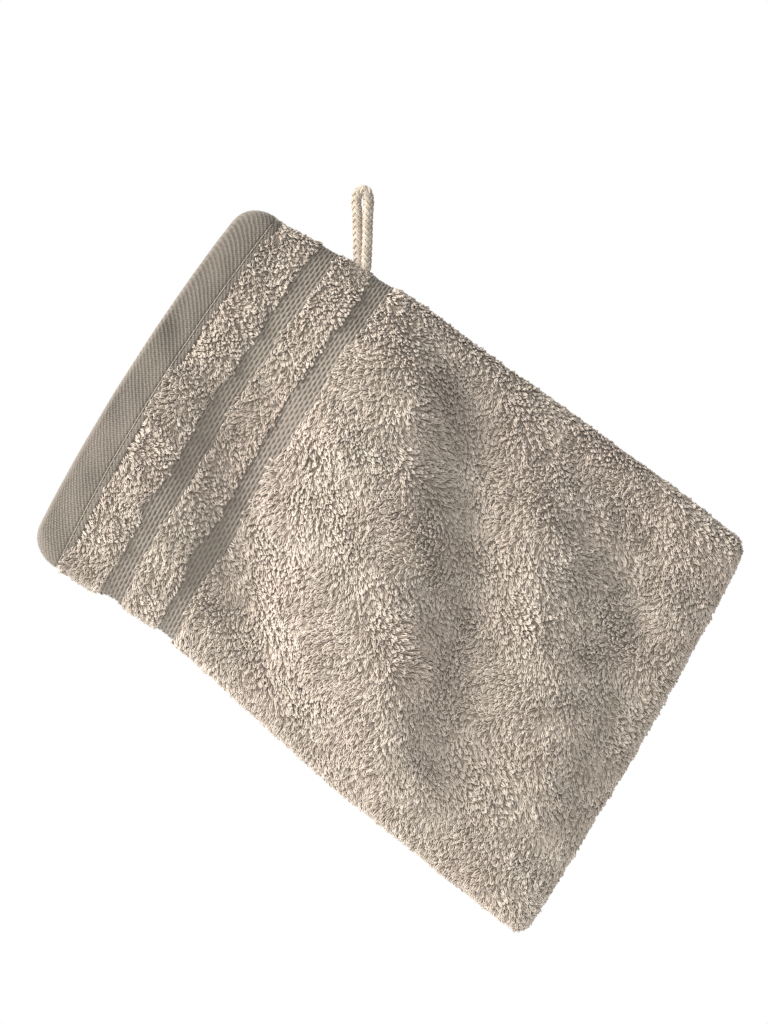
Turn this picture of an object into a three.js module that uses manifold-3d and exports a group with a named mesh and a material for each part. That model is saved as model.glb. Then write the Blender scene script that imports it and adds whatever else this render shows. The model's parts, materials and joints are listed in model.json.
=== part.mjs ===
// Terry wash mitt, hanging by the cord loop that is sewn into its upper side seam.
// Millimetres, +Z up. The origin is the point where a nail or hook carries the loop.
// The front of the mitt faces -Y and its flat back faces +Y. The hand goes in at the cuff, at the upper left.
import * as THREE from 'three';
import { mergeVertices } from 'three/addons/utils/BufferGeometryUtils.js';
import Module from 'manifold-3d';

// ---------- driving dimensions ----------

const HANG_TILT = THREE.MathUtils.degToRad(34.4);  // the mitt's length axis, down from level

const UPPER_LENGTH = 212;      // cuff corner to tip corner along the upper side
const LOWER_EXTRA = 8;         // the lower side is longer by this
const CUFF_WIDTH = 142;        // across the open end
const TIP_FLARE = 16;          // the closed end is wider by this
const CUFF_SKEW = 5;           // the lower cuff corner lies this much nearer the tip
const LOOP_INSET = 46;         // from the upper cuff corner to the loop's root
const EDGE_BULGE = { upper: 5.2, lower: 0, cuff: 3.8, tip: 2.5 };
const CUFF_CORNER_RADIUS = 9;
const TIP_CORNER_RADIUS = 7;

const HEM_WIDTH = 14;          // turned hem, two layers of flat weave
const PILE_BAND_A = 15;        // looped band next to the hem
const STRIPE_WIDTH = 9;        // each flat woven stripe
const PILE_BAND_B = 13;        // looped band between the two stripes
const HEM_THICKNESS = 3.0;
const PILE_THICKNESS = 4.0;    // ground cloth with its loops
const STRIPE_THICKNESS = 2.2;
const BAND_STEP = 0.8;         // length of the step from one thickness to the next

const SEAM_ALLOWANCE = 7;      // cloth turned inwards along both sides and the tip
const ALLOWANCE_THICKNESS = 2;
const ALLOWANCE_STEP = 1.5;
const EDGE_THICKNESS_SHARE = 0.42;  // the rounded edge keeps this share of the thickness
const EDGE_ROUNDING = 6;

const FRONT_FULLNESS = 10;     // how far the front stands off the back in the middle
const MOUTH_FULLNESS = 0.6;    // share of it that is left at the cuff
const FULLEST_AT = 0.35;       // along the length, from cuff to tip
const FULLNESS_ROUND = 0.75;   // exponent across the mitt: below 1 the swell is broad
const FULLNESS_FALL = 2.2;     // exponent along it: above 1 the swell ends late, near the tip

const CORD_DIAMETER = 3.6;
const LOOP_HEIGHT = 27;        // from the nail's contact point to the seam
const TACK_RADIUS = 2.2;
const SEWN_END_LENGTH = 9;
const ROOT_MARGIN = 2.9;       // room round the legs at the seam, so that the loop can lean and fold

// the loop's centre line: up the left leg, over the nail, down the right leg, which crosses in front
const LOOP_ROUTE = [
  [-1.3, 1.3, -24.4], [-1.5, 1.1, -20], [-1.7, 0.8, -15.6], [-1.75, 0.7, -11.2], [-1.9, 0.5, -6.8],
  [-2.3, 0.3, -2.4], [-1.7, 0.1, 0.7], [0, 0, 1.8], [1.7, -0.1, 0.7], [2.3, -0.3, -2.4],
  [1.9, -0.5, -6.8], [1.75, -0.7, -11.2], [1.7, -0.8, -15.6], [1.5, -1.1, -20], [1.3, -1.3, -24.4],
];

const THREAD_DIAMETER = 0.6;
const HEM_STITCH_INSET = 2.6;  // from the hem's inner end
const NEEDLE_INSET = 2.2;      // side seams: needle line, from the finished edge
const LOOPER_SPACING = 2;      // between the two looper threads, on either side of the allowance
const LOOPER_ON_STEP = 0.8;    // how far across the step of the allowance the loopers run
const HEM_END_CLEARANCE = 2;   // from the allowance to the ends of the hem threads
const SEAM_END_CLEARANCE = 4;  // from the loopers to the ends of the seam threads
const THREAD_SPANS = 12;       // straight spans in one line of thread

const GAP = 0.3;               // between pieces that touch
const BODY_STATION = 17;       // spacing of the mesh rows along the looped body
const CROSS_STATIONS = 11;     // mesh rows between the two seam allowances
const MIN_STATION = 0.2;       // rows nearer than this are one row
const MERGE_DISTANCE = 1e-4;   // corners of two triangles this near are one corner
const THREAD_SIDES = 6;
const CORD_SIDES = 8;
const CORD_STEPS = 30;
const SEWN_END_STEPS = 3;
const TACK_SIDES = 20;
const NOTCH_SIDES = 28;

// ---------- materials ----------

function cloth(name, color) {
  return new THREE.MeshStandardMaterial({ name, color, roughness: 0.95, metalness: 0 });
}

const terry = cloth('terry', 0xa99e91);
const cordYarn = cloth('cord_yarn', 0xbfb4a2);
const sewingThread = cloth('sewing_thread', 0xc4bba9);

// ---------- solids ----------

const wasm = await Module();
wasm.setup();

function toSolid(geometry) {
  const bare = geometry.clone();
  bare.deleteAttribute('normal');
  bare.deleteAttribute('uv');
  const merged = mergeVertices(bare, MERGE_DISTANCE);
  return new wasm.Manifold(new wasm.Mesh({
    numProp: 3,
    vertProperties: new Float32Array(merged.attributes.position.array),
    triVerts: new Uint32Array(merged.index.array),
  }));
}

function toGeometry(solid) {
  const mesh = solid.getMesh();
  const geometry = new THREE.BufferGeometry();
  geometry.setAttribute('position', new THREE.BufferAttribute(mesh.vertProperties, 3));
  geometry.setIndex(new THREE.BufferAttribute(mesh.triVerts, 1));
  geometry.computeVertexNormals();
  return geometry;
}

function cut(geometry, cutters) {
  return toGeometry(cutters.reduce((solid, cutter) => solid.subtract(toSolid(cutter)), toSolid(geometry)));
}

function named(name, geometry, material) {
  const mesh = new THREE.Mesh(geometry, material);
  mesh.name = name;
  return mesh;
}

function tube(points, diameter, steps, sides) {
  const section = new THREE.Shape();
  for (let i = 0; i < sides; i += 1) {
    const turn = (i + 0.5) * 2 * Math.PI / sides;
    const move = i === 0 ? 'moveTo' : 'lineTo';
    section[move](diameter / 2 * Math.cos(turn), diameter / 2 * Math.sin(turn));
  }
  section.closePath();
  const path = new THREE.CatmullRomCurve3(points);
  return new THREE.ExtrudeGeometry(section, { steps, extrudePath: path, bevelEnabled: false });
}

// ---------- outline of the mitt ----------

// in the mitt's own frame: x to the tip, z out of the upper side, root of the loop at 0,0

const arch = (f) => 4 * f * (1 - f);
const mix = THREE.MathUtils.lerp;
const sideZ = -EDGE_BULGE.upper * arch(LOOP_INSET / UPPER_LENGTH);

const lowerLength = UPPER_LENGTH + LOWER_EXTRA;
const tipWidth = CUFF_WIDTH + TIP_FLARE;
const corner = {
  cuffUpper: new THREE.Vector2(-LOOP_INSET, sideZ),
  tipUpper: new THREE.Vector2(UPPER_LENGTH - LOOP_INSET, sideZ),
};
corner.cuffLower = new THREE.Vector2(corner.cuffUpper.x + CUFF_SKEW, sideZ - CUFF_WIDTH);
corner.tipLower = new THREE.Vector2(corner.cuffLower.x + lowerLength, sideZ - tipWidth);

const meanLength = (UPPER_LENGTH + lowerLength) / 2;
const meanWidth = (CUFF_WIDTH + tipWidth) / 2;

// along and across are millimetres from the cuff edge and from the upper side, on the mean size
function outlinePoint(along, across) {
  const u = along / meanLength;
  const v = across / meanWidth;
  const upper = corner.cuffUpper.clone().lerp(corner.tipUpper, u);
  const lower = corner.cuffLower.clone().lerp(corner.tipLower, u);
  const point = upper.lerp(lower, v);
  point.y += mix(EDGE_BULGE.upper, -EDGE_BULGE.lower, v) * arch(u);
  point.x += mix(-EDGE_BULGE.cuff, EDGE_BULGE.tip, u) * arch(v);
  return point;
}

// how far the upper and lower ends of a row are drawn in, so that the corners are round
function cornerInset(along) {
  const fromTip = meanLength - along;
  const [radius, reach] = along < fromTip ? [CUFF_CORNER_RADIUS, along] : [TIP_CORNER_RADIUS, fromTip];
  return reach >= radius ? 0 : radius - Math.sqrt(radius ** 2 - (radius - reach) ** 2);
}

// ---------- cloth thickness and shape ----------

const bandEnds = [HEM_WIDTH];
for (const width of [PILE_BAND_A, STRIPE_WIDTH, PILE_BAND_B, STRIPE_WIDTH]) {
  bandEnds.push(bandEnds.at(-1) + width);
}
const bandThickness = [HEM_THICKNESS, PILE_THICKNESS, STRIPE_THICKNESS, PILE_THICKNESS, STRIPE_THICKNESS,
  PILE_THICKNESS];

function clothThickness(along) {
  return bandEnds.reduce(
    (thickness, end, i) => mix(thickness, bandThickness[i + 1], THREE.MathUtils.clamp(
      (along - end) / BAND_STEP + 0.5, 0, 1)),
    bandThickness[0],
  );
}

function edgeDistance(along, across) {
  return Math.max(0, Math.min(across, meanWidth - across, meanLength - along));
}

function fullness(along, across) {
  const u = along / meanLength;
  const lift = Math.sin(Math.PI * THREE.MathUtils.clamp(across / meanWidth, 0, 1)) ** FULLNESS_ROUND;
  const rise = THREE.MathUtils.smoothstep(u, 0, FULLEST_AT);
  const fall = Math.max(0, (u - FULLEST_AT) / (1 - FULLEST_AT)) ** FULLNESS_FALL;
  return lift * mix(MOUTH_FULLNESS, 1, rise) * (1 - fall);
}

// distance of a panel's two faces from the middle plane between the panels
function faces(along, across, panelFullness) {
  const edge = edgeDistance(along, across);
  const opened = THREE.MathUtils.clamp((edge - SEAM_ALLOWANCE) / ALLOWANCE_STEP, 0, 1);
  const lift = panelFullness * fullness(along, across);
  const rounded = THREE.MathUtils.clamp(edge / EDGE_ROUNDING, 0, 1);
  const share = mix(EDGE_THICKNESS_SHARE, 1, Math.sqrt(1 - (1 - rounded) ** 2));
  return {
    inner: GAP / 2 + opened * (ALLOWANCE_THICKNESS + lift),
    outer: GAP / 2 + share * (ALLOWANCE_THICKNESS + clothThickness(along)) + lift,
  };
}

// ---------- mesh rows ----------

function cornerStations(radius) {
  return [0, 1, 2, 3].map((i) => radius * (1 - Math.cos(i * Math.PI / 6)));
}

const edgeStations = [0, 0.15, 0.45, 1].map((share) => share * EDGE_ROUNDING);
const allowanceStations = [SEAM_ALLOWANCE, SEAM_ALLOWANCE + ALLOWANCE_STEP];

function alongStations() {
  const steps = bandEnds.flatMap((end) => [end - BAND_STEP / 2, end + BAND_STEP / 2]);
  const tip = [...cornerStations(TIP_CORNER_RADIUS), ...edgeStations, ...allowanceStations]
    .map((inset) => meanLength - inset);
  const bodyStart = bandEnds.at(-1) + BAND_STEP;
  const bodyEnd = Math.min(...tip);
  const count = Math.round((bodyEnd - bodyStart) / BODY_STATION);
  const body = Array.from({ length: count - 1 }, (_, i) => mix(bodyStart, bodyEnd, (i + 1) / count));
  return distinct([...cornerStations(CUFF_CORNER_RADIUS), ...steps, ...body, ...tip]);
}

function acrossStations() {
  const side = [...edgeStations, ...allowanceStations];
  const start = Math.max(...side);
  const middle = Array.from({ length: CROSS_STATIONS },
    (_, i) => mix(start, meanWidth - start, (i + 1) / (CROSS_STATIONS + 1)));
  return distinct([...side, ...middle, ...side.map((inset) => meanWidth - inset)]);
}

function distinct(values) {
  return values.sort((a, b) => a - b).filter((value, i, all) => i === 0 || value - all[i - 1] > MIN_STATION);
}

// ---------- the two cloth panels ----------

// a box whose rows are moved onto the outline; facing is -1 for the front and 1 for the back
function panelShell(facing, panelFullness) {
  const along = alongStations();
  const across = acrossStations();
  const box = new THREE.BoxGeometry(1, 1, 1, along.length - 1, 1, across.length - 1);
  const position = box.attributes.position;
  for (let i = 0; i < position.count; i += 1) {
    const a = along[Math.round((position.getX(i) + 0.5) * (along.length - 1))];
    const row = across[Math.round((position.getZ(i) + 0.5) * (across.length - 1))];
    const inset = cornerInset(a);
    const c = mix(inset, meanWidth - inset, row / meanWidth);
    const point = outlinePoint(a, c);
    const face = faces(a, row, panelFullness);
    const outerSide = position.getY(i) > 0 === facing > 0;
    position.setXYZ(i, point.x, facing * (outerSide ? face.outer : face.inner), point.y);
  }
  return flipped(box);
}

// x runs with "along" but z runs against "across", which turns the box inside out
function flipped(geometry) {
  const index = geometry.index.array;
  for (let i = 0; i < index.length; i += 3) {
    [index[i], index[i + 1]] = [index[i + 1], index[i]];
  }
  return geometry;
}

// ---------- threads ----------

const threads = [];

function addThread(name, points) {
  const steps = points.length - 1;
  threads.push({
    name,
    geometry: tube(points, THREAD_DIAMETER, steps, THREAD_SIDES),
    channel: tube(extended(points), THREAD_DIAMETER + 2 * GAP, steps + 2, THREAD_SIDES),
  });
}

// the same path, a little longer at both ends, for the channel that the thread lies in
function extended(points) {
  const beyond = (end, next) => end.clone().add(end.clone().sub(next).setLength(GAP));
  return [beyond(points[0], points[1]), ...points, beyond(points.at(-1), points.at(-2))];
}

function run(from, to, count, place) {
  return Array.from({ length: count + 1 }, (_, i) => place(mix(from, to, i / count)));
}

function hemThreads(side, facing, panelFullness) {
  const along = HEM_WIDTH - HEM_STITCH_INSET;
  const margin = SEAM_ALLOWANCE + ALLOWANCE_STEP + HEM_END_CLEARANCE;
  const line = (face) => run(margin, meanWidth - margin, THREAD_SPANS, (across) => {
    const point = outlinePoint(along, across);
    return new THREE.Vector3(point.x, facing * faces(along, across, panelFullness)[face], point.y);
  });
  addThread(`${side}_hem_needle_thread`, line('outer'));
  addThread(`${side}_hem_bobbin_thread`, line('inner'));
}

// place(run position, inset from the finished edge) gives the point on the middle plane
function seamThreads(seam, place, length, start) {
  const looperInset = SEAM_ALLOWANCE + LOOPER_ON_STEP * ALLOWANCE_STEP;
  const end = looperInset + SEAM_END_CLEARANCE;
  const line = (inset, y) => run(start, length - end, THREAD_SPANS, (position) => {
    const point = place(position, inset);
    return new THREE.Vector3(point.x, y, point.y);
  });
  addThread(`${seam}_seam_needle_thread`, line(NEEDLE_INSET, 0));
  addThread(`${seam}_seam_upper_looper_thread`, line(looperInset, -LOOPER_SPACING / 2));
  addThread(`${seam}_seam_lower_looper_thread`, line(looperInset, LOOPER_SPACING / 2));
}

hemThreads('front', -1, FRONT_FULLNESS);
hemThreads('back', 1, 0);

const cuffEnd = CUFF_CORNER_RADIUS;
const tipEnd = SEAM_ALLOWANCE + ALLOWANCE_STEP + SEAM_END_CLEARANCE;
seamThreads('lower_side', (position, inset) => outlinePoint(position, meanWidth - inset), meanLength, cuffEnd);
seamThreads('tip', (position, inset) => outlinePoint(meanLength - inset, position), meanWidth, tipEnd);
// the upper side's needle line starts past the loop, whose own tack holds the seam there
const loopClear = LOOP_INSET + 2 * CORD_DIAMETER + ROOT_MARGIN;
seamThreads('upper_side', (position, inset) => outlinePoint(position, inset), meanLength, loopClear);

// ---------- hanging loop ----------

const rootHeight = -LOOP_HEIGHT;
const loopPoints = LOOP_ROUTE.map((point) => new THREE.Vector3(...point));
const hangingLoop = tube(loopPoints, CORD_DIAMETER, CORD_STEPS, CORD_SIDES);

const loopTack = new THREE.CylinderGeometry(TACK_RADIUS, TACK_RADIUS, CORD_DIAMETER, TACK_SIDES);

// clearance for the loop's root, through both panels, so that the loop can lean and fold
const legReach = LOOP_ROUTE.at(-1)[0] + CORD_DIAMETER / 2;
const rootClearance = legReach + ROOT_MARGIN;
const notchDepth = 4 * (PILE_THICKNESS + ALLOWANCE_THICKNESS);
const rootNotch = new THREE.CylinderGeometry(rootClearance, rootClearance, notchDepth, NOTCH_SIDES);

// the two ends of the cord, sewn between the panels below the root
const sewnEnds = [-1, 1].map((side) => {
  const x = side * (CORD_DIAMETER + GAP) / 2;
  const line = (from, to) => [new THREE.Vector3(x, 0, from), new THREE.Vector3(x, 0, to)];
  const top = -rootClearance - GAP;
  return {
    geometry: tube(line(top, top - SEWN_END_LENGTH), CORD_DIAMETER, SEWN_END_STEPS, CORD_SIDES),
    channel: tube(line(0, top - SEWN_END_LENGTH - GAP), CORD_DIAMETER + 2 * GAP, SEWN_END_STEPS, CORD_SIDES),
  };
});

// ---------- assembly ----------

const part = new THREE.Group();

part.add(named('hanging_loop', hangingLoop, cordYarn));

const mitt = new THREE.Group();
mitt.position.set(0, 0, rootHeight);
mitt.rotation.y = HANG_TILT;
part.add(mitt);

mitt.add(named('loop_tack_thread', loopTack, sewingThread));

const cutters = [rootNotch, ...threads.map((thread) => thread.channel), ...sewnEnds.map((end) => end.channel)];
mitt.add(named('front_panel', cut(panelShell(-1, FRONT_FULLNESS), cutters), terry));
mitt.add(named('back_panel', cut(panelShell(1, 0), cutters), terry));

['left', 'right'].forEach((side, i) => {
  mitt.add(named(`loop_sewn_end_${side}`, sewnEnds[i].geometry, cordYarn));
});
for (const thread of threads) {
  mitt.add(named(thread.name, thread.geometry, sewingThread));
}

export default part;
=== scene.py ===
"""Looks of a terry wash mitt that hangs by its cord loop.

Each panel is a closed ground cloth with real yarn loops on it, woven stripes and a twill hem. Lengths
inside this file are millimetres in the mitt's own frame: x from the loop's root towards the tip, z out
of the upper side, y towards the back. to_row() turns them into metres in the CAD frame.
"""
import json
import math

import bpy
import numpy as np
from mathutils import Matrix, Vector


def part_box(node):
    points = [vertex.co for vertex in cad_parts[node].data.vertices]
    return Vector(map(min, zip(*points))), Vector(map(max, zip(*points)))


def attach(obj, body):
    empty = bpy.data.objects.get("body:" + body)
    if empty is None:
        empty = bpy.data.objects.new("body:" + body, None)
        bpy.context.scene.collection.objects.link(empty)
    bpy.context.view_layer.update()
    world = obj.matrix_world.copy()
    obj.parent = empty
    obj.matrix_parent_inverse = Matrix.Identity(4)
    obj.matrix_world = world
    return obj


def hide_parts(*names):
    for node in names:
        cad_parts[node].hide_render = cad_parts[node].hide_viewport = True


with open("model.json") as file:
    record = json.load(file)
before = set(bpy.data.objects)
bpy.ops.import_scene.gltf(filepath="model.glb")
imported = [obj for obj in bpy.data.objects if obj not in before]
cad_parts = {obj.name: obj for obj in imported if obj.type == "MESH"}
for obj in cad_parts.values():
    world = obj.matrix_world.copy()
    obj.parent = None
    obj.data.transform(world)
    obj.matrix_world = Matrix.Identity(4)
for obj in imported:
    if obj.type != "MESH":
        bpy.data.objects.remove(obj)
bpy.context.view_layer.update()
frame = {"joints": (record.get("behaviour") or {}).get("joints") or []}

MM = 0.001

# ---------- the mitt's own frame, from the joints at the loop's root ----------

joints = {joint["name"]: joint for joint in frame["joints"]}
ROOT = np.array(joints["mitt_fold"]["pos_m"]) / MM
LENGTHWISE = np.array(joints["mitt_fold"]["axis"]) / np.linalg.norm(joints["mitt_fold"]["axis"])
OUTWARDS = np.array([-LENGTHWISE[2], 0, LENGTHWISE[0]])

# ---------- sizes in millimetres ----------

# as the CAD source has them, apart from the seam gap and the radius of the tip's corners

UPPER_LENGTH, LOWER_EXTRA = 212, 8
CUFF_WIDTH, TIP_FLARE, CUFF_SKEW = 142, 16, 5
LOOP_INSET = 46
BULGE_UPPER, BULGE_CUFF, BULGE_TIP = 5.2, 3.8, 2.5
CUFF_CORNER_RADIUS, TIP_CORNER_RADIUS = 9, 4.5
HEM_WIDTH, PILE_BAND_A, STRIPE_WIDTH, PILE_BAND_B = 14, 15, 9, 13
SEAM_GAP = 0.04             # the sewn cloths press together, so no light comes between them
ALLOWANCE, ALLOWANCE_THICKNESS, ALLOWANCE_STEP = 7, 2, 1.5
FRONT_FULLNESS, MOUTH_FULLNESS, FULLEST_AT = 10, 0.6, 0.35
CORD_DIAMETER = 3.6

# the loop's centre line from the hang point, as the CAD source has it
LOOP_ROUTE = [
    (-1.3, 1.3, -24.4), (-1.5, 1.1, -20), (-1.7, 0.8, -15.6), (-1.75, 0.7, -11.2), (-1.9, 0.5, -6.8),
    (-2.3, 0.3, -2.4), (-1.7, 0.1, 0.7), (0, 0, 1.8), (1.7, -0.1, 0.7), (2.3, -0.3, -2.4),
    (1.9, -0.5, -6.8), (1.75, -0.7, -11.2), (1.7, -0.8, -15.6), (1.5, -1.1, -20), (1.3, -1.3, -24.4),
]

LENGTH = UPPER_LENGTH + LOWER_EXTRA / 2
WIDTH = CUFF_WIDTH + TIP_FLARE / 2

# the cloth
GROUND_THICKNESS = 2.3      # woven ground, from the lining side to the feet of the loops
HEM_THICKNESS = 3.2
HEM_TURNING = 0.6           # the hem's turned-in layer, on the lining side
EDGE_RADIUS = 6.0           # the cloth rolls over this at both sides and at the tip
POCKET_CORNER = 7.0         # the lining opens over this from the seam allowance
PILE_HEIGHT = 2.35          # length of a yarn loop, from the ground to its tip
LOOP_SPACING = 1.12         # between neighbouring yarn loops
YARN_RADIUS = 0.275
THREAD_RADIUS = 0.26        # sewing thread
LOOPS_PER_PIECE = 3500      # keeps each pile piece under 200 000 triangles

band_a = (HEM_WIDTH, HEM_WIDTH + PILE_BAND_A)
stripe_a = (band_a[1], band_a[1] + STRIPE_WIDTH)
band_b = (stripe_a[1], stripe_a[1] + PILE_BAND_B)
stripe_b = (band_b[1], band_b[1] + STRIPE_WIDTH)


# ---------- small maths ----------

def mix(a, b, t):
    return a + (b - a) * t


def smoothstep(low, high, x):
    t = np.clip((x - low) / (high - low), 0, 1)
    return t * t * (3 - 2 * t)


def arch(f):
    return 4 * f * (1 - f)


def waves(x, y, wavelength, seed, count=14):
    """A smooth field of about -1 to 1: plane waves of roughly one length in seeded directions."""
    rng = np.random.default_rng(seed)
    total = np.zeros(np.broadcast(x, y).shape)
    for _ in range(count):
        heading, phase = rng.uniform(0, 2 * np.pi, 2)
        rate = 2 * np.pi / (wavelength * rng.uniform(0.7, 1.5))
        total += np.cos(rate * (x * np.cos(heading) + y * np.sin(heading)) + phase)
    return total / math.sqrt(count)


def to_row(points):
    """Millimetres in the mitt's frame, (..., 3), to metres in the row frame."""
    x, y, z = points[..., 0:1], points[..., 1:2], points[..., 2:3]
    return (ROOT + x * LENGTHWISE + y * np.array([0, 1, 0]) + z * OUTWARDS) * MM


# ---------- the mitt's outline and its two curved faces ----------

side_z = -BULGE_UPPER * arch(LOOP_INSET / UPPER_LENGTH)
CUFF_UPPER = np.array([-LOOP_INSET, side_z])
TIP_UPPER = CUFF_UPPER + [UPPER_LENGTH, 0]
CUFF_LOWER = CUFF_UPPER + [CUFF_SKEW, -CUFF_WIDTH]
TIP_LOWER = CUFF_LOWER + [UPPER_LENGTH + LOWER_EXTRA, -TIP_FLARE]


def corner_inset(along):
    from_tip = LENGTH - along
    near_cuff = along < from_tip
    radius = np.where(near_cuff, CUFF_CORNER_RADIUS, TIP_CORNER_RADIUS)
    reach = np.clip(np.where(near_cuff, along, from_tip), 0, radius)
    return radius - np.sqrt(radius**2 - (radius - reach) ** 2)


PILE_ROOM = 1.3             # the ground stays this far inside the outline, where loops stand out of it
STRIPE_WAIST = 0.8          # the flat stripes are drawn in by this much more
HEM_REACH = 1.0             # the soft cuff edge stands this far past the solid one
CUFF_SWELL, LOOP_SWELL = 1.0, 2.2   # the upper side stands out at the cuff, and more at the loop
TIP_SWELL = 1.2             # and towards the tip's upper corner
TIP_TUCK = 0.7              # the tip's edge is drawn in below that corner
LOWER_HOLLOW = 4.2          # the lower side is drawn in next to the stripes


def side_inset(along):
    """How far both sides of a row are drawn in."""
    stripes = sum(
        smoothstep(low - 3, low + 3, along) - smoothstep(high - 3, high + 3, along)
        for low, high in (stripe_a, stripe_b)
    )
    return corner_inset(along) + PILE_ROOM * smoothstep(10, 16, along) + STRIPE_WAIST * stripes


def lower_hollow(along):
    return LOWER_HOLLOW * smoothstep(12, 50, along) * (1 - smoothstep(54, 142, along))


def upper_swell(along):
    by_loop = mix(CUFF_SWELL, LOOP_SWELL, smoothstep(18, 32, along)) * (1 - smoothstep(62, 106, along))
    return by_loop + TIP_SWELL * smoothstep(150, 205, along)


def outline(along, across):
    """x and z of a place given in millimetres from the cuff edge and from the upper side."""
    inset = side_inset(along)
    across = mix(inset - upper_swell(along), WIDTH - inset - lower_hollow(along), across / WIDTH)
    v = across / WIDTH
    tip_inset = PILE_ROOM + TIP_TUCK * smoothstep(0.1, 0.4, v)
    u = (along - tip_inset * smoothstep(LENGTH - 40, LENGTH, along)) / LENGTH
    upper = CUFF_UPPER + (TIP_UPPER - CUFF_UPPER) * u[..., None]
    lower = CUFF_LOWER + (TIP_LOWER - CUFF_LOWER) * u[..., None]
    place = mix(upper, lower, v[..., None])
    x = place[..., 0] + mix(-BULGE_CUFF, BULGE_TIP, u) * arch(v)
    x = x - HEM_REACH * (1 - 0.95 * arch(v)) * (1 - smoothstep(0, 14, along))
    z = place[..., 1] + BULGE_UPPER * (1 - v) * arch(u)
    return x, z


# Hanging folds run straight down from where the loop holds the cloth. In millimetres from the hang
# point: the crest's place across at the top and bottom of the fold, the heights it runs between, its
# half widths to the left and right, and its rise.
FOLDS = [
    (15, 8, -35, -215, 32, 17, 8.4),
    (-38, -43, -68, -215, 20, 16, -5.6),
    (33, 38, -72, -165, 9, 13, -3.0),
    (60, 68, -98, -225, 19, 16, 4.8),
    (96, 98, -105, -200, 15, 14, -2.6),
    (114, 110, -100, -170, 12, 12, 1.8),
    (-74, -72, -68, -165, 18, 20, 3.0),
]


def folds(x, z):
    row = to_row(np.stack([x, np.zeros_like(x), z], -1)) / MM
    across, up = row[..., 0], row[..., 2]
    rise = np.zeros_like(x)
    for top, bottom, high, low, left, right, height in FOLDS:
        crest = mix(top, bottom, np.clip((high - up) / (high - low), 0, 1))
        width = np.where(across < crest, left, right)
        window = smoothstep(low - 25, low + 25, up) * (1 - smoothstep(high - 25, high + 25, up))
        rise += height * window * np.exp(-(((across - crest) / width) ** 2))
    return rise


def fullness(along, across):
    u = along / LENGTH
    lift = np.sin(np.pi * np.clip(across / WIDTH, 0, 1)) ** 0.75
    rise = smoothstep(0, FULLEST_AT, u)
    fall = np.clip((u - FULLEST_AT) / (1 - FULLEST_AT), 0, None) ** 2.2
    return lift * mix(MOUTH_FULLNESS, 1, rise) * (1 - fall)


BROAD_RIPPLE, FINE_RIPPLE = 0.45, 0.14
RIPPLE_MEAN = 0.8           # keeps the ripple from dipping under the lining


class Panel:
    """One side of the mitt. facing is -1 for the front and 1 for the back."""

    def __init__(self, name, facing, full, seed):
        self.name, self.facing, self.full, self.seed = name, facing, full, seed

    def lift(self, along, across):
        """How far the cloth stands off the middle plane."""
        x, z = outline(along, across)
        edge = np.minimum(np.minimum(across, WIDTH - across), LENGTH - along)
        calm = smoothstep(2, 26, edge)
        ripple = waves(x, z, 26, self.seed) * BROAD_RIPPLE + waves(x, z, 11, self.seed + 1) * FINE_RIPPLE
        if self.facing < 0:
            ripple = ripple + folds(x, z)
        return self.full * fullness(along, across) + calm * (ripple + RIPPLE_MEAN)

    def place(self, run, over, height):
        """Points at a height over the middle plane's allowance. run and over are millimetres along and
        across the cloth itself, which rolls over its edges down to the seam."""
        along, rolled_tip = roll_end(run)
        across, rolled_side = roll_both(over)
        x, z = outline(along, across)
        rolled = rolled_tip * rolled_side
        y = SEAM_GAP / 2 + rolled * (ALLOWANCE_THICKNESS + height) + self.lift(along, across)
        return np.stack([x, self.facing * y, z], -1)

    def frame_at(self, run, over, height):
        """Places with their two directions on the cloth and their outward normal."""
        step = 0.4
        here = self.place(run, over, height)
        lengthwise = unit(self.place(run + step, over, height) - self.place(run - step, over, height))
        sideways = unit(self.place(run, over + step, height) - self.place(run, over - step, height))
        normal = unit(np.cross(lengthwise, sideways)) * self.facing
        return here, lengthwise, sideways, normal

    def inner(self, along, across, layers=0.0):
        """The lining side, which the hand touches, with a thickness of layers laid on it."""
        x, z = outline(along, across)
        edge = np.minimum(np.minimum(across, WIDTH - across), LENGTH - along)
        opened = np.sin(np.clip((edge - ALLOWANCE) / POCKET_CORNER, 0, 1) * math.pi / 2)
        y = SEAM_GAP / 2 + opened * (ALLOWANCE_THICKNESS + self.lift(along, across) - layers)
        return np.stack([x, self.facing * y, z], -1)


def unit(v):
    return v / np.maximum(np.linalg.norm(v, axis=-1, keepdims=True), 1e-9)


QUARTER = EDGE_RADIUS * math.pi / 2
RUN_END = LENGTH - EDGE_RADIUS + QUARTER        # cloth length, rolled over the tip's edge
OVER_END = WIDTH - 2 * EDGE_RADIUS + 2 * QUARTER


def roll_end(run):
    """Distance along the mitt and share of full height, where the cloth rolls over the tip."""
    past = np.clip((run - (LENGTH - EDGE_RADIUS)) / EDGE_RADIUS, 0, math.pi / 2)
    along = np.where(run < LENGTH - EDGE_RADIUS, run, LENGTH - EDGE_RADIUS + EDGE_RADIUS * np.sin(past))
    return along, np.cos(past)


def roll_both(over):
    """The same across the mitt, where the cloth rolls over both sides."""
    from_side = np.minimum(over, OVER_END - over)
    turn = np.clip(from_side / EDGE_RADIUS, 0, math.pi / 2)
    reach = np.where(from_side < QUARTER, EDGE_RADIUS * (1 - np.cos(turn)),
                     from_side - QUARTER + EDGE_RADIUS)
    return np.where(over < OVER_END / 2, reach, WIDTH - reach), np.sin(turn)


front = Panel("front", -1, FRONT_FULLNESS, 11)
back = Panel("back", 1, 0, 23)


# ---------- mesh helpers ----------

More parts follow.
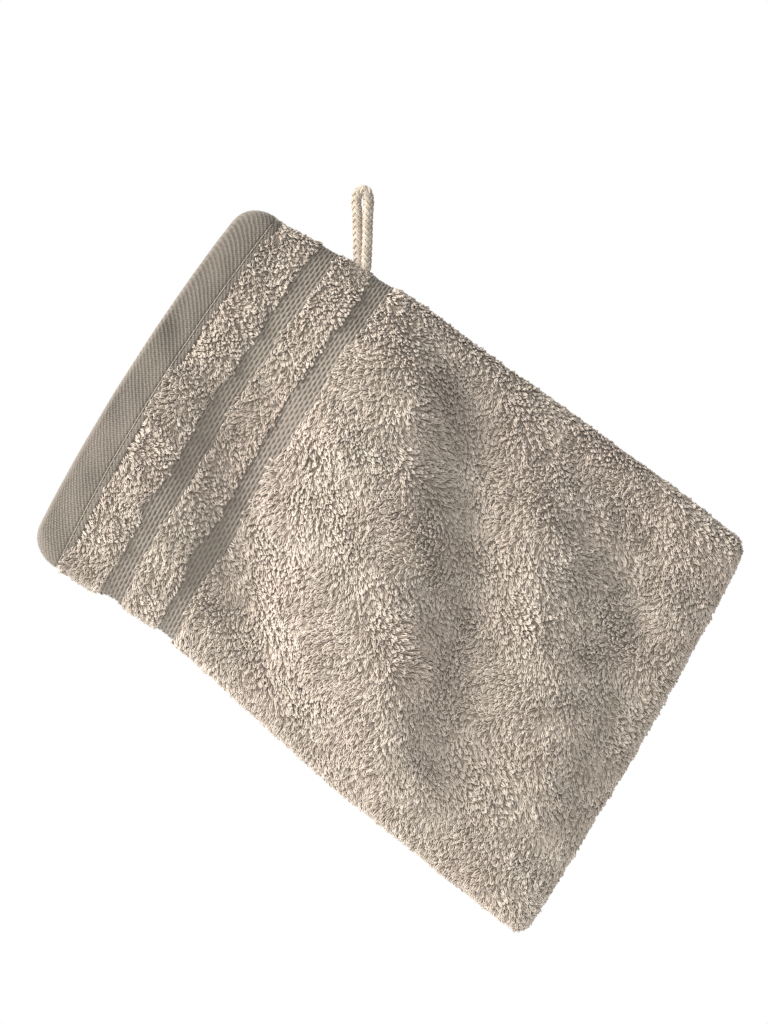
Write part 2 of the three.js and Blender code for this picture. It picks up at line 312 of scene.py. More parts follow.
def mesh_object(name, verts, quads, attributes=None):
    """A mesh object from arrays, at the origin. verts are metres in the row frame."""
    me = bpy.data.meshes.new(name)
    me.vertices.add(len(verts))
    me.vertices.foreach_set("co", np.ascontiguousarray(verts, np.float32).ravel())
    me.loops.add(quads.size)
    me.loops.foreach_set("vertex_index", np.ascontiguousarray(quads, np.int32).ravel())
    me.polygons.add(len(quads))
    me.polygons.foreach_set("loop_start", np.arange(0, quads.size, 4, dtype=np.int32))
    me.polygons.foreach_set("use_smooth", np.full(len(quads), True))
    for key, values in (attributes or {}).items():
        me.attributes.new(key, "FLOAT", "POINT").data.foreach_set("value", values.astype(np.float32))
    me.update()
    me.validate()
    ob = bpy.data.objects.new(name, me)
    bpy.context.scene.collection.objects.link(ob)
    return ob


def grid_quads(rows, columns, start=0, flip=False):
    i, j = np.meshgrid(np.arange(rows - 1), np.arange(columns - 1), indexing="ij")
    a = start + i * columns + j
    quads = np.stack([a, a + 1, a + columns + 1, a + columns], -1).reshape(-1, 4)
    return quads[:, ::-1] if flip else quads


def closed_shell(name, outer, inner, facing, attributes=None):
    """A closed body between two grids of the same size, (rows, columns, 3)."""
    rows, columns = outer.shape[:2]
    count = rows * columns
    ring = np.concatenate([
        np.arange(columns),
        np.arange(1, rows) * columns + columns - 1,
        (rows - 1) * columns + np.arange(columns - 2, -1, -1),
        np.arange(rows - 2, 0, -1) * columns,
    ])
    following = np.roll(ring, -1)
    wall = np.stack([following, ring, ring + count, following + count], -1)
    quads = np.concatenate([grid_quads(rows, columns), grid_quads(rows, columns, count, True), wall])
    if facing > 0:
        quads = quads[:, ::-1]
    verts = to_row(np.concatenate([outer.reshape(-1, 3), inner.reshape(-1, 3)]))
    return mesh_object(name, verts, quads, attributes)


def tubes(name, paths, radii, sides, attributes=None, ups=None):
    """Closed tubes along many paths at once: paths (n, k, 3) in metres, radii (n, k) in metres."""
    n, k = paths.shape[:2]
    along = unit(np.gradient(paths, axis=1))
    up = np.broadcast_to(np.array([0.31, 0.52, 0.8]), along.shape) if ups is None else ups
    first = unit(np.cross(along, up))
    second = np.cross(along, first)
    turn = (np.arange(sides) + 0.5) * 2 * np.pi / sides
    ring = (first[:, :, None] * np.cos(turn)[:, None] + second[:, :, None] * np.sin(turn)[:, None])
    verts = paths[:, :, None] + ring * radii[:, :, None, None]
    i, j = np.meshgrid(np.arange(k - 1), np.arange(sides), indexing="ij")
    a, b = i * sides + j, i * sides + (j + 1) % sides
    quads = np.stack([a, a + sides, b + sides, b], -1).reshape(-1, 4)
    if sides == 4:
        caps = np.array([[0, 1, 2, 3], [3, 2, 1, 0]]) + np.array([[0], [(k - 1) * 4]])
    else:
        caps = np.array([[0, 1, 2, 3], [0, 3, 4, 5], [3, 2, 1, 0], [5, 4, 3, 0]])
        caps[2:] += (k - 1) * sides
    quads = np.concatenate([quads, caps])
    every = quads[None] + (np.arange(n) * k * sides)[:, None, None]
    spread = {key: np.repeat(values.reshape(n * k), sides) for key, values in (attributes or {}).items()}
    return mesh_object(name, verts.reshape(-1, 3), every.reshape(-1, 4), attributes=spread)


# ---------- materials ----------

def colour(red, green, blue):
    """Linear colour from 8-bit sRGB."""
    linear = [((c / 255 + 0.055) / 1.055) ** 2.4 if c > 10 else c / 3295 for c in (red, green, blue)]
    return (*linear, 1)


def node(tree, kind, **inputs):
    made = tree.nodes.new(kind)
    for key, value in inputs.items():
        made.inputs[key.replace("_", " ")].default_value = value
    return made


def fabric(name, light, dark, tint, roughness, sheen, grain_scale, grain_strength):
    """Cotton: a colour drifting between two tints, with a tone for each yarn, painted shade at the feet of the
    loops and wherever the height attribute is low, and a fine grain.
    """
    mat = bpy.data.materials.new(name)
    mat.use_nodes = True
    tree = mat.node_tree
    shader = tree.nodes["Principled BSDF"]
    shader.inputs["Roughness"].default_value = roughness
    shader.inputs["Sheen Weight"].default_value = sheen
    shader.inputs["Sheen Roughness"].default_value = 0.5
    shader.inputs["Specular IOR Level"].default_value = 0.15
    place = tree.nodes.new("ShaderNodeTexCoord")
    drift = node(tree, "ShaderNodeTexNoise", Scale=38, Detail=3, Roughness=0.6)
    tree.links.new(place.outputs["Object"], drift.inputs["Vector"])
    tone = tree.nodes.new("ShaderNodeAttribute")
    tone.attribute_name = "tone"
    painted_foot_shade = tree.nodes.new("ShaderNodeAttribute")
    painted_foot_shade.attribute_name = "height"
    steps = tree.nodes.new("ShaderNodeMapRange")
    steps.inputs["From Min"].default_value = 0.35
    steps.inputs["From Max"].default_value = 0.65
    tree.links.new(drift.outputs["Fac"], steps.inputs["Value"])
    base = mixed(tree, steps.outputs["Result"], light, tint)
    toned = mixed(tree, tone.outputs["Fac"], base, dark)
    # painted shade: the colour is darkened towards the feet of the yarn loops and in the other hollows the
    # height attribute marks
    shaded = mixed(tree, painted_foot_shade.outputs["Fac"], toned, toned, darken_a=0.88)
    tree.links.new(shaded, shader.inputs["Base Color"])
    grain = node(tree, "ShaderNodeTexNoise", Scale=grain_scale, Detail=2, Roughness=0.6)
    tree.links.new(place.outputs["Object"], grain.inputs["Vector"])
    bump = node(tree, "ShaderNodeBump", Strength=grain_strength, Distance=0.0002)
    tree.links.new(grain.outputs["Fac"], bump.inputs["Height"])
    tree.links.new(bump.outputs["Normal"], shader.inputs["Normal"])
    return mat


def mixed(tree, factor, a, b, darken_a=None):
    """A colour mix. a and b are colours or sockets; the optional darkening factor scales a first, to paint
    shade on it.
    """
    if darken_a is not None:
        shade = tree.nodes.new("ShaderNodeMix")
        shade.data_type, shade.blend_type = "RGBA", "MULTIPLY"
        shade.inputs[0].default_value = 1
        tree.links.new(a, shade.inputs[6])
        shade.inputs[7].default_value = (darken_a, darken_a * 0.97, darken_a * 0.93, 1)
        a = shade.outputs[2]
    blend = tree.nodes.new("ShaderNodeMix")
    blend.data_type = "RGBA"
    tree.links.new(factor, blend.inputs[0])
    for socket, value in ((blend.inputs[6], a), (blend.inputs[7], b)):
        if isinstance(value, tuple):
            socket.default_value = value
        else:
            tree.links.new(value, socket)
    return blend.outputs[2]


terry = fabric("terry_yarn", colour(211, 201, 188), colour(170, 158, 144), colour(204, 190, 178),
               0.95, 0.25, 2600, 0.35)
flat_weave = fabric("flat_weave", colour(144, 136, 125), colour(104, 97, 88), colour(140, 130, 121),
                    0.92, 0.15, 3200, 0.3)
cord_yarn = fabric("cord_yarn", colour(190, 180, 165), colour(146, 134, 118), colour(183, 170, 155),
                   0.9, 0.2, 3000, 0.3)
thread_yarn = fabric("sewing_thread", colour(154, 145, 133), colour(126, 118, 107), colour(150, 140, 129),
                     0.75, 0.1, 4000, 0.2)


def dress(ob, material, body):
    ob.data.materials.append(material)
    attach(ob, body)
    return ob


# ---------- camera ----------

VIEW_WIDTH = 268.8          # millimetres across the picture, at the mitt
VIEW_CENTRE = (7.5, -111.3)
CAMERA_DISTANCE = 1500


def make_camera():
    data = bpy.data.cameras.new("camera")
    camera = bpy.data.objects.new("camera", data)
    bpy.context.scene.collection.objects.link(camera)
    camera.location = Vector((VIEW_CENTRE[0], -CAMERA_DISTANCE, VIEW_CENTRE[1])) * MM
    camera.rotation_euler = (math.pi / 2, 0, 0)
    tall = VIEW_WIDTH * 1024 / 768
    data.sensor_width = 36
    data.lens = data.sensor_width * CAMERA_DISTANCE / tall   # the sensor width is the long side's
    bpy.context.scene.camera = camera


make_camera()

# ---------- the hanging loop ----------

CORD_SAMPLES = 160
CORD_SMOOTHINGS = 6
TACK_RADIUS = 1.7
TACK_TURNS, TACK_POINTS = 6, 16   # turns of thread, and points in each turn
SEWN_SAMPLES = 40
SEWN_SHARE = 0.8            # how much of the solid sewn end the braid fills, so that its corners stay in
LEG_TUCK = 4.2              # the legs run on into the cloth by this, past the pivot
PRESSED_END = 0.4           # their sewn ends are pressed thinner by this share
PRESSED_LENGTH = 3.5


def cord_route():
    """The loop's centre line in millimetres from the hang point, with both legs run on into the cloth."""
    line = np.array(LOOP_ROUTE)
    first, last = line[0] - [0, 0, LEG_TUCK], line[-1] - [0, 0, LEG_TUCK]
    return np.concatenate([[first], line, [last]])


def even(points, count):
    """The same line with evenly spaced points."""
    steps = np.linalg.norm(np.diff(points, axis=0), axis=1)
    reach = np.concatenate([[0], np.cumsum(steps)])
    at = np.linspace(0, reach[-1], count)
    return np.stack([np.interp(at, reach, points[:, i]) for i in range(3)], -1), reach[-1]


CARRIERS = 8
BRAID_PITCH = 9.0           # length in which a carrier goes once round
STRAND_RADIUS = 0.52
CROSSING_LIFT = 0.26        # a carrier rises by this over the one it crosses
PLY_ANGLE = 0.62            # between the two plies of a carrier
PLY_SHARE, CORE_SHARE = 0.86, 0.92   # plies and core are a little thinner than their room


def braid(name, line, pressed=0.0):
    """Eight two-ply carriers braided round a core, along evenly spaced points in millimetres."""
    count = len(line)
    tangent = unit(np.gradient(line, axis=0))
    side = np.broadcast_to(np.array([0.0, 1.0, 0.0]), tangent.shape)
    across = unit(np.cross(tangent, side))
    side = np.cross(across, tangent)
    reach = np.concatenate([[0], np.cumsum(np.linalg.norm(np.diff(line, axis=0), axis=1))])
    paths, tones = [], []
    rng = np.random.default_rng(5)
    centre_radius = CORD_DIAMETER / 2 - STRAND_RADIUS
    from_end = np.minimum(reach, reach[-1] - reach)
    taper = 1 - pressed * (1 - smoothstep(0, PRESSED_LENGTH, from_end))
    for carrier in range(CARRIERS):
        hand = 1 if carrier % 2 else -1
        start = carrier // 2 * 2 * np.pi / (CARRIERS / 2) + (0 if hand > 0 else np.pi / 4)
        angle = start + hand * 2 * np.pi * reach / BRAID_PITCH
        crossing = np.sin(2 * (angle - start) + carrier // 2 * np.pi) * hand
        out = (centre_radius + CROSSING_LIFT * crossing) * taper
        for ply in (-0.5, 0.5):
            turn = angle + ply * PLY_ANGLE
            ring = across * np.cos(turn)[:, None] + side * np.sin(turn)[:, None]
            paths.append(line + ring * out[:, None])
            tones.append(np.full(count, rng.uniform(0, 0.6)))
    # painted shade between the carriers: the core is given a dark tone and darkened as at the feet of the
    # loops
    paths.append(line)
    tones.append(np.full(count, 0.9))
    radii = np.full((len(paths), count), STRAND_RADIUS * PLY_SHARE)
    radii[-1] = centre_radius * CORE_SHARE
    radii = radii * taper
    height = np.full((len(paths), count), 1.0)
    height[-1] = 0.1
    return tubes(name, np.array(paths) * MM, radii * MM, 6, {"tone": np.array(tones), "height": height})


def hanging_loop():
    line, length = even(cord_route(), CORD_SAMPLES)
    for _ in range(CORD_SMOOTHINGS):
        line[1:-1] = (line[:-2] + 2 * line[1:-1] + line[2:]) / 4
    ob = dress(braid("hanging_loop_cord", line, PRESSED_END), cord_yarn, "loop")
    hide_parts("hanging_loop")


def sewn_ends():
    """The loop's two ends, sewn in between the panels where the CAD has them."""
    for side in ("left", "right"):
        node_name = f"loop_sewn_end_{side}"
        low, high = (np.array(corner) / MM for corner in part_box(node_name))
        middle = (low + high) / 2
        half = (np.linalg.norm(high[[0, 2]] - low[[0, 2]]) - CORD_DIAMETER) / 2
        ends = np.array([middle + OUTWARDS * half * SEWN_SHARE, middle - OUTWARDS * half * SEWN_SHARE])
        line, _ = even(ends, SEWN_SAMPLES)
        ob = dress(braid(f"sewn_cord_{side}", line), cord_yarn, "mitt")
        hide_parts(node_name)


def tack():
    """Thread wound round the root of the loop."""
    turn = np.linspace(0, TACK_TURNS * 2 * np.pi, TACK_TURNS * TACK_POINTS)
    y = np.linspace(-1, 1, len(turn)) * (CORD_DIAMETER / 2 - THREAD_RADIUS)
    path = ROOT + np.stack([TACK_RADIUS * np.cos(turn), y, TACK_RADIUS * np.sin(turn)], -1)
    ob = dress(thread("loop_tack_wraps", path), thread_yarn, "loop_root")
    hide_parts("loop_tack_thread")


def thread(name, path):
    """A round sewing thread along points in millimetres in the row frame."""
    count = len(path)
    twist = 0.35 + 0.3 * np.sin(np.arange(count) * 1.9)
    return tubes(name, path[None] * MM, np.full((1, count), THREAD_RADIUS) * MM, 6,
                 {"tone": twist[None], "height": np.ones((1, count))})


hanging_loop()
sewn_ends()
tack()

# ---------- yarn loops ----------

LOOP_RINGS = 7
LOOP_SUNK = 0.25            # the feet of the loops start this far inside the ground
ROW_SHARE, COLUMN_SHARE = 0.93, 1.07   # rows stand closer than columns
JITTER = 0.17
EDGE_LEAN, EDGE_HEIGHT = 0.3, 0.5      # loops on the rolled edges lean further and are shorter
FLATTENED = 0.45            # share of its height the pile keeps round the root of the hanging loop
FLATTENED_WITHIN = (4, 9)   # fully inside the first distance from the pivot, not at all past the second


def scatter(run_range, over_range, seed):
    """Jittered rows of places on the cloth, every second row set off by half a space."""
    rng = np.random.default_rng(seed)
    first, last = run_range[0] - LOOP_SPACING * 0.4, run_range[1] - LOOP_SPACING * 0.3
    rows = np.arange(first, last, LOOP_SPACING * ROW_SHARE)
    columns = np.arange(over_range[0], over_range[1], LOOP_SPACING * COLUMN_SHARE)
    run, over = np.meshgrid(rows, columns, indexing="ij")
    over = over + (np.arange(len(rows)) % 2)[:, None] * LOOP_SPACING * 0.5
    run = run + rng.normal(0, LOOP_SPACING * JITTER, run.shape)
    over = over + rng.normal(0, LOOP_SPACING * JITTER, run.shape)
    return run.ravel(), np.clip(over.ravel(), over_range[0], over_range[1])


def colour_map(ob, tone, painted_foot_shade):
    """The map for a baked texture: yarn of one colour lies in one place on it, whichever loop it is in."""
    turn = (np.arange(4) + 0.5) * np.pi / 2
    along = np.linspace(0, 1, LOOP_RINGS)[None, :, None]
    first = 0.04 + 0.9 * tone[:, :, None] + 0.02 * np.cos(turn)
    second = 0.04 + 0.9 * painted_foot_shade[:, :, None] + 0.02 * np.sin(turn) + 0.02 * along
    places = np.stack([first, second], -1).reshape(-1, 2)
    corner = np.empty(len(ob.data.loops), np.int32)
    ob.data.loops.foreach_get("vertex_index", corner)
    layer = ob.data.uv_layers.new(name="OFBake")
    layer.data.foreach_set("uv", places[corner].astype(np.float32).ravel())


def loop_variety(rng, n):
    """What differs at random between yarn loops. The order of these draws is part of the model."""
    return {
        "flow": rng.normal(0, 0.3, n),
        "tilt": rng.normal(0, 0.2, n),
        "twist": rng.uniform(-0.9, 0.9, n),
        "tall": rng.uniform(0.8, 1.2, n),
        "wide": rng.uniform(0.52, 0.86, n),
        "droop": rng.uniform(0.1, 0.55, n),
        "radius": rng.uniform(0.85, 1.18, n),
        "tone": rng.beta(2, 3, n),
    }


def loop_lines(panel, run, over, lean, height, varied, seed):
    """Centre lines of yarn loops, (n, rings, 3), and a direction that keeps their tubes from twisting."""
    here, lengthwise, sideways, normal = panel.frame_at(run, over, GROUND_THICKNESS - LOOP_SUNK)
    flow = (0.75 * waves(run, over, 40, seed + 2) + 0.4 * waves(run, over, 15, seed + 3)
            + varied["flow"] + 1.1)
    heading = lengthwise * np.cos(flow)[:, None] + sideways * np.sin(flow)[:, None]
    tilt = np.clip(lean + varied["tilt"] + 0.12 * waves(run, over, 18, seed + 4), 0.05, 1.25)
    rolled = roll_end(run)[1] * roll_both(over)[1]
    tilt = np.clip(tilt + EDGE_LEAN * (1 - rolled), 0.05, 1.3)
    rise = normal * np.cos(tilt)[:, None] + heading * np.sin(tilt)[:, None]
    broad = np.cross(normal, heading)
    broad = unit(broad * np.cos(varied["twist"])[:, None] + heading * np.sin(varied["twist"])[:, None])
    tall = height * varied["tall"] * (1 + 0.1 * waves(run, over, 9, seed + 5))
    tall = tall * mix(EDGE_HEIGHT, 1, rolled)
    tall = tall * mix(FLATTENED, 1, smoothstep(*FLATTENED_WITHIN, np.linalg.norm(here, axis=-1)))
    t = np.linspace(0, 1, LOOP_RINGS)
    swing = np.pi * (1.18 * t - 0.09)
    body = -np.cos(swing)[None] * varied["wide"][:, None] / 2 * (1 + 0.45 * np.sin(np.pi * t))[None]
    up = np.clip(np.sin(np.pi * t), 0, 1)[None] ** 0.7 * tall[:, None]
    droop = (np.sin(np.pi * t) ** 2)[None] * varied["droop"][:, None]
    lines = (here[:, None] + broad[:, None] * body[..., None] + rise[:, None] * up[..., None]
             + heading[:, None] * droop[..., None])
    ups = np.repeat(normal[:, None], LOOP_RINGS, 1) * 0.9 + broad[:, None] * 0.3 + heading[:, None] * 0.31
    return lines, to_row(ups) - to_row(np.zeros(3))


def pile(panel, part, run_range, lean, height, shade, seed):
    """Yarn loops over a stretch of cloth, in pieces of a handy size."""
    run, over = scatter(run_range, (0.4, OVER_END - 0.4), seed)
    n = len(run)
    varied = loop_variety(np.random.default_rng(seed + 1), n)
    lines, ups = loop_lines(panel, run, over, lean, height, varied, seed)
    t = np.linspace(0, 1, LOOP_RINGS)
    radii = YARN_RADIUS * varied["radius"][:, None] * (0.86 + 0.2 * np.sin(np.pi * t))[None]
    tone = np.clip(shade + 0.7 * varied["tone"] + 0.14 * waves(run, over, 15, seed + 6), 0, 1)
    tone = np.repeat(tone[:, None], LOOP_RINGS, 1)
    # painted shade at the feet of the loops: this factor is 0 at both feet and 1 at the top, and darkens the
    # yarn near the ground
    painted_foot_shade = np.repeat((np.sin(np.pi * t) ** 0.8)[None], n, 0)
    made = []
    pieces = math.ceil(n / LOOPS_PER_PIECE)
    for i, chosen in enumerate(np.array_split(np.argsort(over, kind="stable"), pieces)):
        name = f"{panel.name}_pile_{part}" + (f"_{i + 1}" if pieces > 1 else "")
        ob = tubes(name, to_row(lines[chosen]), radii[chosen] * MM, 4,
                   {"tone": tone[chosen], "height": painted_foot_shade[chosen]}, ups[chosen])
        colour_map(ob, tone[chosen], painted_foot_shade[chosen])
        made.append(dress(ob, terry, "mitt"))
    return made


# ---------- woven parts ----------

COLUMN_STEP, SLIT_PERIOD = 1.25, 3.0   # between columns of slits, and from slit to slit in a column
SLIT_HALF_WIDTH, SLIT_HALF_LENGTH, SLIT_DEPTH = 0.26, 0.98, 0.42
FLOAT_ROUND = 0.06


def woven_height(run, over):
    """The flat stripes: short slits between yarn floats, laid like bricks along the stripe."""
    column = np.round(run / COLUMN_STEP)
    away = (run - column * COLUMN_STEP) / SLIT_HALF_WIDTH
    phase = over / SLIT_PERIOD + (column % 2) * 0.5
    middle = (phase - np.round(phase)) * SLIT_PERIOD
    slit = np.exp(-(away**2) - np.abs(middle) ** 4 / SLIT_HALF_LENGTH**4)
    return -SLIT_DEPTH * slit - FLOAT_ROUND * np.cos(2 * np.pi * run / COLUMN_STEP)


RIB_SPACING = 1.25
RIB_ROUND, RIB_WANDER = 0.11, 0.07
FLOAT_LENGTH, FLOAT_END_DEPTH = 1.5, 0.28
RIB_LEAN = math.radians(34)     # the ribs run plumb while the mitt hangs


def twill_height(run, over):
    """The hem: slanting ribs, each broken into short floats."""
    across_ribs = run * math.cos(RIB_LEAN) - over * math.sin(RIB_LEAN) + RIB_WANDER * waves(run, over, 6, 91)
    along_ribs = run * math.sin(RIB_LEAN) + over * math.cos(RIB_LEAN)
    rib = np.round(across_ribs / RIB_SPACING)
    round_rib = np.cos(2 * np.pi * across_ribs / RIB_SPACING)
    float_end = np.cos(2 * np.pi * along_ribs / FLOAT_LENGTH + np.pi * rib) ** 8
    return RIB_ROUND * round_rib - FLOAT_END_DEPTH * float_end * (round_rib > -0.5)


STRIPE_TUCK = 0.9
STRIPE_RISE, STRIPE_SUNK = 0.45, 0.35   # over and under the face of the ground


def stripe(panel, part, run_range):
    """A flat woven stripe between two looped bands, tucked a little way under both."""
    run = np.arange(run_range[0] - STRIPE_TUCK, run_range[1] + STRIPE_TUCK, 0.2)
    over = np.linspace(0.3, OVER_END - 0.3, 400)
    run, over = np.meshgrid(run, over, indexing="ij")
    here, _, _, normal = panel.frame_at(run, over, GROUND_THICKNESS)
    height = woven_height(run - run_range[0], over)
    outer = here + normal * (STRIPE_RISE + height)[..., None]
    inner = here - normal * STRIPE_SUNK
    # painted shade in the slits: their tone is darker, and the height attribute darkens them further
    tone = 0.35 + 0.12 * waves(run, over, 1.6, 71) - 0.9 * height
    ob = closed_shell(f"{panel.name}_{part}", outer, inner, panel.facing, {
        "tone": np.clip(np.concatenate([tone.ravel(), tone.ravel()]), 0, 1),
        "height": np.clip(np.tile((1 + 1.6 * height).ravel(), 2), 0, 1)})
    return dress(ob, flat_weave, "mitt")


STITCH_LINE = HEM_WIDTH - 2.6
FOLD_RADIUS = 1.5           # of the turned edge at the cuff
CREASE_DEPTH, CREASE_HALF_WIDTH = 0.38, 0.5
HEM_END_DROP = 0.9          # the hem sinks under the first looped band


def hem(panel):
    """The turned hem: a rounded fold at the cuff, ribbed, with a crease where it is stitched."""
    along = np.concatenate([FOLD_RADIUS * (1 - np.cos(np.linspace(0, np.pi / 2, 7)[:-1])),
                            np.arange(FOLD_RADIUS, HEM_WIDTH + 0.8, 0.22)])
    over = np.linspace(0, OVER_END, 620)
    along, over = np.meshgrid(along, over, indexing="ij")
    here, _, _, normal = panel.frame_at(along, over, HEM_THICKNESS)
    across, _ = roll_both(over)
    inside = panel.inner(along, across, HEM_TURNING)
    closing = np.sqrt(1 - (1 - np.clip(along / FOLD_RADIUS, 0, 1)) ** 2)
    crease = CREASE_DEPTH * np.exp(-(((along - STITCH_LINE) / CREASE_HALF_WIDTH) ** 2))
    end_drop = HEM_END_DROP * smoothstep(HEM_WIDTH - 0.6, HEM_WIDTH + 0.8, along)
    relief = twill_height(along, over) * smoothstep(0, 1.2, along) - crease - end_drop
    outer = here + normal * relief[..., None]
    middle = (outer + inside) / 2
    outer = middle + (outer - middle) * closing[..., None]
    lining = middle + (inside - middle) * closing[..., None]
    # painted highlight on the raised ribs and painted shade at the float ends, in the grooves and in the
    # stitched crease
    tone = np.clip(0.55 + 0.14 * waves(along, over, 1.4, 81) - 4.2 * twill_height(along, over), 0, 1)
    ob = closed_shell(f"{panel.name}_hem", outer, lining, panel.facing, {
        "tone": np.tile(tone.ravel(), 2),
        "height": np.clip(np.tile((1 + 1.2 * relief).ravel(), 2), 0, 1)})
    return dress(ob, flat_weave, "mitt")


def ground(panel):
    """The woven ground of a panel, from its cuff to its seams, with the allowance turned in."""
    run = np.concatenate([np.arange(1.6, RUN_END - QUARTER, 2.4),
                          np.linspace(RUN_END - QUARTER, RUN_END, 8)])
    over = np.concatenate([np.linspace(0, QUARTER, 8)[:-1],
                           np.linspace(QUARTER, OVER_END - QUARTER, 64),
                           np.linspace(OVER_END - QUARTER, OVER_END, 8)[1:]])
    run, over = np.meshgrid(run, over, indexing="ij")
    outer = panel.place(run, over, GROUND_THICKNESS)
    along, _ = roll_end(run)
    across, _ = roll_both(over)
    inner = panel.inner(along, across)
    # painted shade: the ground between the loops is given a dark tone and darkened further, standing in for
    # the shade under the pile
    tone = np.full(run.size * 2, 0.85)
    ob = closed_shell(f"{panel.name}_ground_cloth", outer, inner, panel.facing,
                      {"tone": tone, "height": np.full(run.size * 2, 0.3)})
    dress(ob, terry, "mitt")
    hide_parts(f"{panel.name}_panel")
    return ob


STITCH = 2.8                # length of one stitch
STITCH_HUMP = 0.34
STITCH_POINTS = 8           # points along each stitch
SEAM_END = 12.5             # the seam threads stop this far from the tip's corners


def hem_stitches(panel):
    """A lockstitch along the hem: the needle thread outside, the bobbin thread inside."""
    over = np.arange(EDGE_RADIUS, OVER_END - EDGE_RADIUS, STITCH / STITCH_POINTS)
    along = np.full(len(over), float(STITCH_LINE))
    hump = np.abs(np.sin(np.pi * over / STITCH)) ** 0.6
    here, _, _, normal = panel.frame_at(along, over, HEM_THICKNESS)
    outside = here + normal * (STITCH_HUMP * hump - 0.5)[:, None]
    across, _ = roll_both(over)
    inside = panel.inner(along, across, HEM_TURNING) - normal * (STITCH_HUMP * hump - 0.15)[:, None]
    for name, path in (("needle", outside), ("bobbin", inside)):
        ob = thread(f"{panel.name}_hem_{name}_stitches", to_row(path) / MM)
        dress(ob, thread_yarn, "mitt")
        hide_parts(f"{panel.name}_hem_{name}_thread")


def seam_place(seam, position, inset):
    """x and z by distance along a seam and inwards from its edge."""
    if seam == "upper_side":
        return outline(position, inset)
    if seam == "lower_side":
        return outline(position, WIDTH - inset)
    return outline(LENGTH - inset, position)


def seam_stitches(seam, start, end):
    """An overlocked seam: a needle thread through both cloths and two loopers round their raw edge."""
    position = np.arange(start, end, STITCH / STITCH_POINTS)
    beat = 2 * np.pi * position / STITCH
    edge = ALLOWANCE + ALLOWANCE_STEP + THREAD_RADIUS
    threads = {
        "needle": (2.2, 0.5 * np.cos(beat)),
        "upper_looper": (edge, 1.7 * np.cos(beat)),
        "lower_looper": (edge + 0.3, 1.7 * np.sin(beat)),
    }
    for name, (inset, y) in threads.items():
        x, z = seam_place(seam, position, np.full(len(position), float(inset)))
        ob = thread(f"{seam}_seam_{name}", to_row(np.stack([x, y, z], -1)) / MM)
        dress(ob, thread_yarn, "mitt")
        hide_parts(f"{seam}_seam_{name}_thread")


# how far the loops lean over, in radians, and how dark their yarn starts
BAND_LEAN, BAND_SHADE = 0.88, 0.26
BODY_LEAN, BODY_SHADE = 0.98, 0.1


def build_panel(panel, seed):
    body = (stripe_b[1], RUN_END - 0.3)
    on_it = [hem(panel)]
    on_it += [stripe(panel, "stripe_near_hem", stripe_a), stripe(panel, "stripe_near_body", stripe_b)]
    on_it += pile(panel, "band_near_hem", band_a, BAND_LEAN, PILE_HEIGHT, BAND_SHADE, seed)
    on_it += pile(panel, "band_between_stripes", band_b, BAND_LEAN, PILE_HEIGHT, BAND_SHADE, seed + 10)
    on_it += pile(panel, "body", body, BODY_LEAN, PILE_HEIGHT * 1.08, BODY_SHADE, seed + 20)
    cloth = ground(panel)


build_panel(front, 100)
build_panel(back, 200)
hem_stitches(front)
hem_stitches(back)
seam_stitches("upper_side", LOOP_INSET + 10, LENGTH - SEAM_END)
seam_stitches("lower_side", CUFF_CORNER_RADIUS, LENGTH - SEAM_END)
seam_stitches("tip", SEAM_END, WIDTH - SEAM_END)

# ---------- light and floor ----------

FLOOR_HEIGHT = -450
FLOOR_RADIUS = 900


def area_light(name, place, aim, size, watts, tint):
    data = bpy.data.lights.new(name, "AREA")
    data.shape, data.size, data.energy, data.color = "DISK", size * MM, watts, tint
    ob = bpy.data.objects.new(name, data)
    bpy.context.scene.collection.objects.link(ob)
    ob.location = Vector(place) * MM
    ob.rotation_euler = (Vector(aim) - Vector(place)).to_track_quat("-Z", "Y").to_euler()


BRIGHT_SIDE = (-0.76, -0.2, 0.62)   # the room is brighter on the side of the key light
AMBIENT = (0.2, 0.78)               # its strength on the far side and on that side


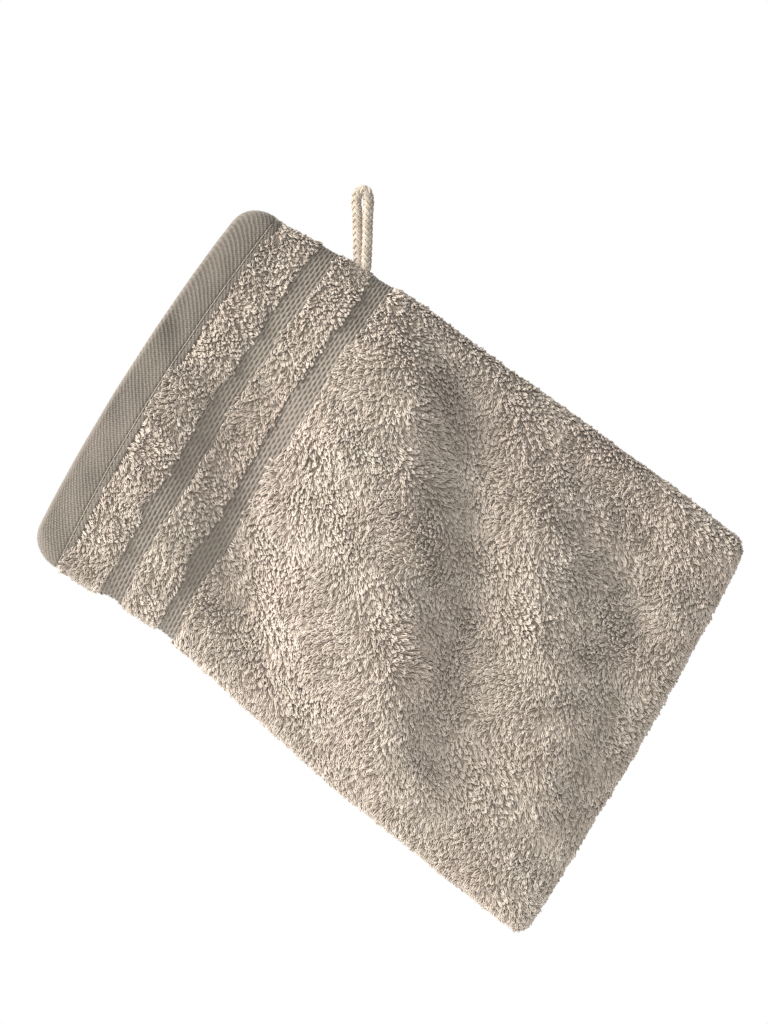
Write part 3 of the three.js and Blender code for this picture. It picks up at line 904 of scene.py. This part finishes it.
def studio():
    world = bpy.data.worlds.new("studio")
    bpy.context.scene.world = world
    world.use_nodes = True
    tree = world.node_tree
    background = tree.nodes["Background"]
    background.inputs["Color"].default_value = (0.95, 0.97, 1, 1)
    place = tree.nodes.new("ShaderNodeTexCoord")
    towards = node(tree, "ShaderNodeVectorMath")
    towards.operation = "DOT_PRODUCT"
    towards.inputs[1].default_value = BRIGHT_SIDE
    level = tree.nodes.new("ShaderNodeMapRange")
    level.inputs["From Min"].default_value = -1
    level.inputs["To Min"].default_value, level.inputs["To Max"].default_value = AMBIENT
    tree.links.new(place.outputs["Generated"], towards.inputs[0])
    tree.links.new(towards.outputs["Value"], level.inputs["Value"])
    tree.links.new(level.outputs["Result"], background.inputs["Strength"])
    white = node(tree, "ShaderNodeBackground", Color=(1, 1, 1, 1), Strength=1)
    seen = tree.nodes.new("ShaderNodeLightPath")
    choose = tree.nodes.new("ShaderNodeMixShader")
    tree.links.new(seen.outputs["Is Camera Ray"], choose.inputs[0])
    tree.links.new(background.outputs[0], choose.inputs[1])
    tree.links.new(white.outputs[0], choose.inputs[2])
    tree.links.new(choose.outputs[0], tree.nodes["World Output"].inputs["Surface"])
    area_light("key", (-1870, -720, 940), (0, 0, -120), 1100, 104, (1, 0.99, 0.975))
    area_light("back_key", (250, 1200, 620), (0, 0, -120), 700, 18, (1, 0.99, 0.975))
    area_light("back_fill", (-700, 1200, 0), (0, 0, -120), 900, 6, (1, 1, 1))
    area_light("front_fill", (-150, -1350, 300), (0, 0, -120), 900, 4.5, (1, 1, 1))
    bpy.context.scene.view_settings.view_transform = "Standard"


def make_floor():
    bpy.ops.mesh.primitive_circle_add(vertices=96, radius=FLOOR_RADIUS * MM, fill_type="NGON",
                                      location=(0, 0, FLOOR_HEIGHT * MM))
    floor = bpy.context.object
    floor.name = "floor"
    mat = bpy.data.materials.new("pale_floor")
    mat.use_nodes = True
    shader = mat.node_tree.nodes["Principled BSDF"]
    shader.inputs["Base Color"].default_value = (0.82, 0.82, 0.81, 1)
    shader.inputs["Roughness"].default_value = 0.8
    floor.data.materials.append(mat)


studio()
make_floor()
